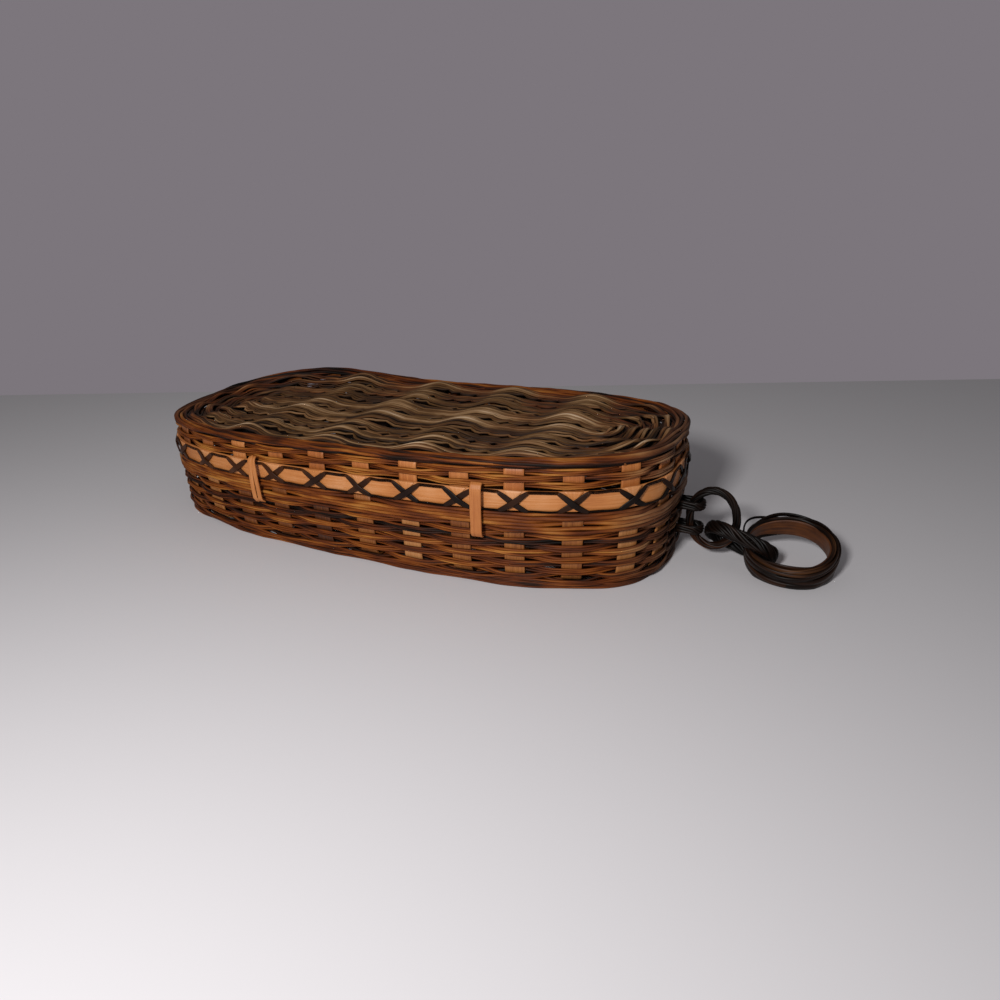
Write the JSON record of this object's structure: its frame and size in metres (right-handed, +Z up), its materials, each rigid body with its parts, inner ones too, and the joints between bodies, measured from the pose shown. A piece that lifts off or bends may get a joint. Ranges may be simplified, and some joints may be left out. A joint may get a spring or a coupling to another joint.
{
  "type": "trinket basket",
  "caption": "Long rounded box-basket of flat wood splints and fine strands, with a hinged woven lid and a short chain of wound loops on one end.",
  "frame": {"origin": "middle of the flat underside of the base", "axes": "+Z up out of the lid, +X along the long side towards the chain's end, -Y towards the side with the two hinge straps"},
  "size_m": [0.2497, 0.0943, 0.0451],
  "materials": {
    "splint": "worn flat wood splint",
    "weaver_strand": "fine strands, waxed by handling",
    "bleached_strand": "fine strands, bleached and dusty",
    "dark_strand": "dark wound strands with a low shine"
  },
  "bodies": {
    "basket": {"base_mat": "weaver_strand", "body_cross_stake_1": "splint", "body_cross_stake_10": "splint", "body_cross_stake_2": "splint", "body_cross_stake_3": "splint", "body_cross_stake_4": "splint", "body_cross_stake_5": "splint", "body_cross_stake_6": "splint", "body_cross_stake_7": "splint", "body_cross_stake_8": "splint", "body_cross_stake_9": "splint", "body_long_stake_1": "splint", "body_long_stake_2": "splint", "body_long_stake_3": "splint", "body_long_stake_4": "splint", "body_long_stake_5": "splint", "body_rim_row_1": "weaver_strand", "body_rim_row_2": "weaver_strand", "body_rim_row_3": "weaver_strand", "body_row_1": "weaver_strand", "body_row_2": "weaver_strand", "body_row_3": "weaver_strand", "body_row_4": "weaver_strand", "body_row_5": "weaver_strand", "body_row_6": "weaver_strand", "body_row_7": "weaver_strand", "body_row_8": "weaver_strand", "body_row_9": "weaver_strand", "ear_lower": "dark_strand", "ear_upper": "dark_strand", "strap_near_chain": "splint", "strap_near_plain_end": "splint"},
    "lid": {"lacing_a": "dark_strand", "lacing_b": "dark_strand", "lid_band": "splint", "lid_cross_stake_1": "splint", "lid_cross_stake_10": "splint", "lid_cross_stake_2": "splint", "lid_cross_stake_3": "splint", "lid_cross_stake_4": "splint", "lid_cross_stake_5": "splint", "lid_cross_stake_6": "splint", "lid_cross_stake_7": "splint", "lid_cross_stake_8": "splint", "lid_cross_stake_9": "splint", "lid_edge_roll": "weaver_strand", "lid_long_stake_1": "splint", "lid_long_stake_2": "splint", "lid_long_stake_3": "splint", "lid_long_stake_4": "splint", "lid_long_stake_5": "splint", "lid_row_1": "weaver_strand", "lid_row_2": "weaver_strand", "lid_row_3": "weaver_strand", "lid_top_mat": "bleached_strand"},
    "ring": {"ring": "dark_strand"},
    "link": {"link": "dark_strand"},
    "hoop": {"hoop": "dark_strand"}
  },
  "joints": [
    {"name": "lid_hinge", "type": "hinge", "parent": "basket", "child": "lid", "pos_m": [0, -0.0471, 0.02445], "axis": [0.9997, 0, 0.0244], "range_deg": [0, 110], "deforming": ["strap_near_chain", "strap_near_plain_end"]},
    {"name": "ring_swing", "type": "hinge", "parent": "basket", "child": "ring", "pos_m": [0.10324, 0.002, 0.0147], "axis": [0, 0, 1], "range_deg": [-30, 30]},
    {"name": "link_swing", "type": "hinge", "parent": "ring", "child": "link", "pos_m": [0.11607, 0.002, 0.009], "axis": [0.4896, 0, 0.8719], "range_deg": [-20, 20]},
    {"name": "hoop_swing", "type": "hinge", "parent": "link", "child": "hoop", "pos_m": [0.12101, 0.002, 0.00739], "axis": [0, -1, 0], "range_deg": [-60, 25]}
  ]
}
